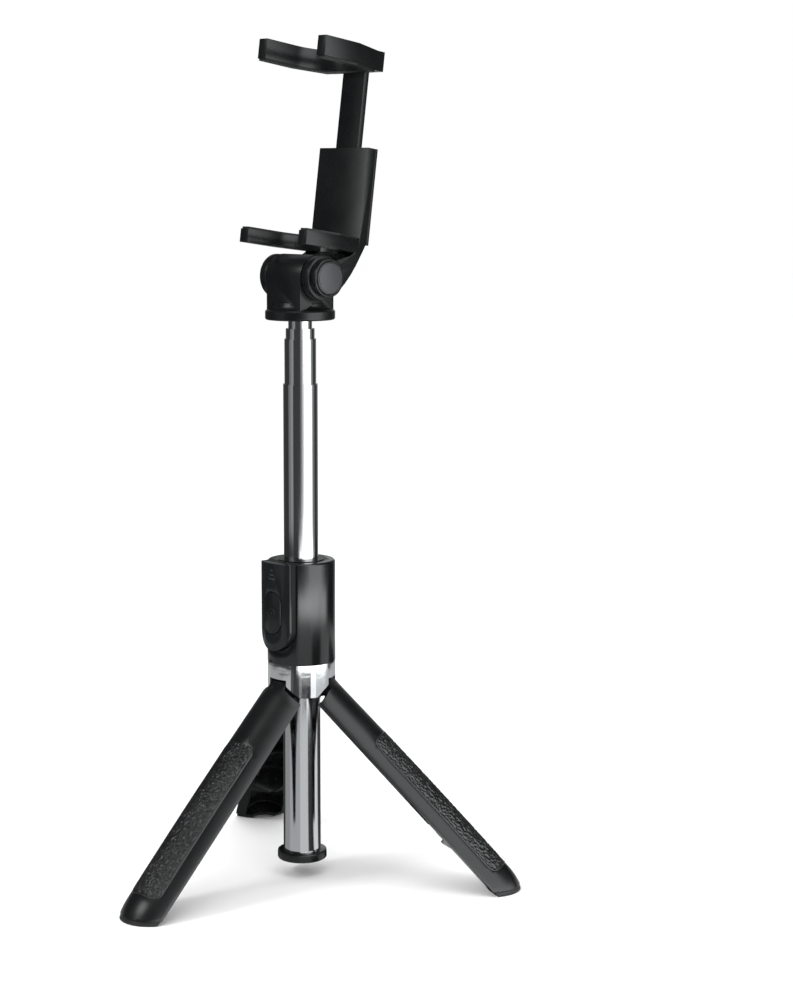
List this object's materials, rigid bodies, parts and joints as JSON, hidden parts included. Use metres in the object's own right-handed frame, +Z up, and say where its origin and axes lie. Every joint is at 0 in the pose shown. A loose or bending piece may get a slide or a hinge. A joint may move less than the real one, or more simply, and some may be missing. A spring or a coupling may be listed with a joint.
{
  "type": "tripod selfie stick",
  "caption": "Telescoping selfie stick with a fold-out three-leg base, a tilting spring clamp for a phone and a lift-off shutter remote.",
  "frame": {"origin": "point of the floor plane on the tube's axis, midway between the three feet", "axes": "+Z up along the tubes; -Y to the front, where the remote and one leg face; +X along the clamp's hinge, towards its capped end"},
  "size_m": [0.1956, 0.1737, 0.4104],
  "materials": {
    "black_plastic": "satin moulded",
    "grey_plastic": "satin",
    "rubber": "pebbled",
    "chrome": "polished",
    "steel": "plated",
    "brass": "rolled",
    "circuit_board": "lacquered",
    "lens": "clear"
  },
  "bodies": {
    "base": {"end_cap": "black_plastic", "base_tube": "chrome", "leg_hub": "black_plastic", "collar": "chrome", "handle_core": "black_plastic", "handle_shell": "black_plastic", "handle_bush": "black_plastic", "leg_pin_1": "steel", "leg_pin_2": "steel", "leg_pin_3": "steel"},
    "leg_1": {"leg_shell_1": "black_plastic", "leg_grip_1": "rubber", "leg_foot_1": "rubber"},
    "leg_2": {"leg_shell_2": "black_plastic", "leg_grip_2": "rubber", "leg_foot_2": "rubber"},
    "leg_3": {"leg_shell_3": "black_plastic", "leg_grip_3": "rubber", "leg_foot_3": "rubber"},
    "mast_1": {"tube_1": "chrome", "glide_1": "brass"},
    "mast_2": {"tube_2": "chrome", "glide_2": "brass"},
    "mast_3": {"tube_3": "chrome", "glide_3": "brass"},
    "mast_4": {"tube_4": "chrome", "glide_4": "brass", "swivel_plug": "steel"},
    "head": {"head_base": "black_plastic"},
    "clamp": {"hinge_bolt": "steel", "hinge_nut": "steel", "hinge_washers": "steel", "hinge_ring": "black_plastic", "hinge_cap": "grey_plastic", "hinge_cover": "black_plastic", "clamp_bracket": "black_plastic", "clamp_back_cover": "black_plastic", "clamp_screws": "steel", "guide_rods": "steel", "clamp_springs": "steel", "lower_jaw_pad": "rubber"},
    "jaw": {"upper_jaw": "black_plastic", "upper_jaw_pad": "rubber"},
    "remote": {"remote_back": "black_plastic", "remote_face": "black_plastic", "remote_pcb": "circuit_board", "remote_cell": "steel", "battery_door": "black_plastic", "dome_switch": "steel", "led_bars": "lens"},
    "button": {"remote_button": "black_plastic"}
  },
  "joints": [
    {"name": "leg_1_fold", "type": "hinge", "parent": "base", "child": "leg_1", "pos_m": [0.01119, 0.00646, 0.09611], "axis": [-0.5, 0.866, 0], "range_deg": [0, 45]},
    {"name": "leg_2_fold", "type": "hinge", "parent": "base", "child": "leg_2", "pos_m": [-0.01119, 0.00646, 0.09611], "axis": [-0.5, -0.866, 0], "range_deg": [0, 45]},
    {"name": "leg_3_fold", "type": "hinge", "parent": "base", "child": "leg_3", "pos_m": [0, -0.01293, 0.09611], "axis": [1, 0, 0], "range_deg": [0, 45]},
    {"name": "mast_1_draw", "type": "slide", "parent": "base", "child": "mast_1", "axis": [0, 0, 1], "range_m": [-0.0847, 0.028]},
    {"name": "mast_2_draw", "type": "slide", "parent": "mast_1", "child": "mast_2", "axis": [0, 0, 1], "range_m": [-0.0205, 0.094]},
    {"name": "mast_3_draw", "type": "slide", "parent": "mast_2", "child": "mast_3", "axis": [0, 0, 1], "range_m": [-0.004, 0.11]},
    {"name": "mast_4_draw", "type": "slide", "parent": "mast_3", "child": "mast_4", "axis": [0, 0, 1], "range_m": [-0.0028, 0.11]},
    {"name": "head_swivel", "type": "hinge", "parent": "mast_4", "child": "head", "pos_m": [0, 0, 0.27531], "axis": [0, 0, 1], "continuous": true},
    {"name": "clamp_tilt", "type": "hinge", "parent": "head", "child": "clamp", "pos_m": [0, 0, 0.29591], "axis": [1, 0, 0], "range_deg": [-50, 188]},
    {"name": "upper_jaw_slide", "type": "slide", "parent": "clamp", "child": "jaw", "axis": [0, 0.1392, 0.9903], "range_m": [-0.0195, 0.01], "deforming": ["clamp_springs"]},
    {"name": "remote_lift", "type": "slide", "parent": "base", "child": "remote", "axis": [0, -1, 0], "range_m": [0, 0.03]},
    {"name": "remote_press", "type": "slide", "parent": "remote", "child": "button", "axis": [0, 1, 0], "range_m": [0, 0.0005], "stiffness_N_per_m": 600}
  ]
}
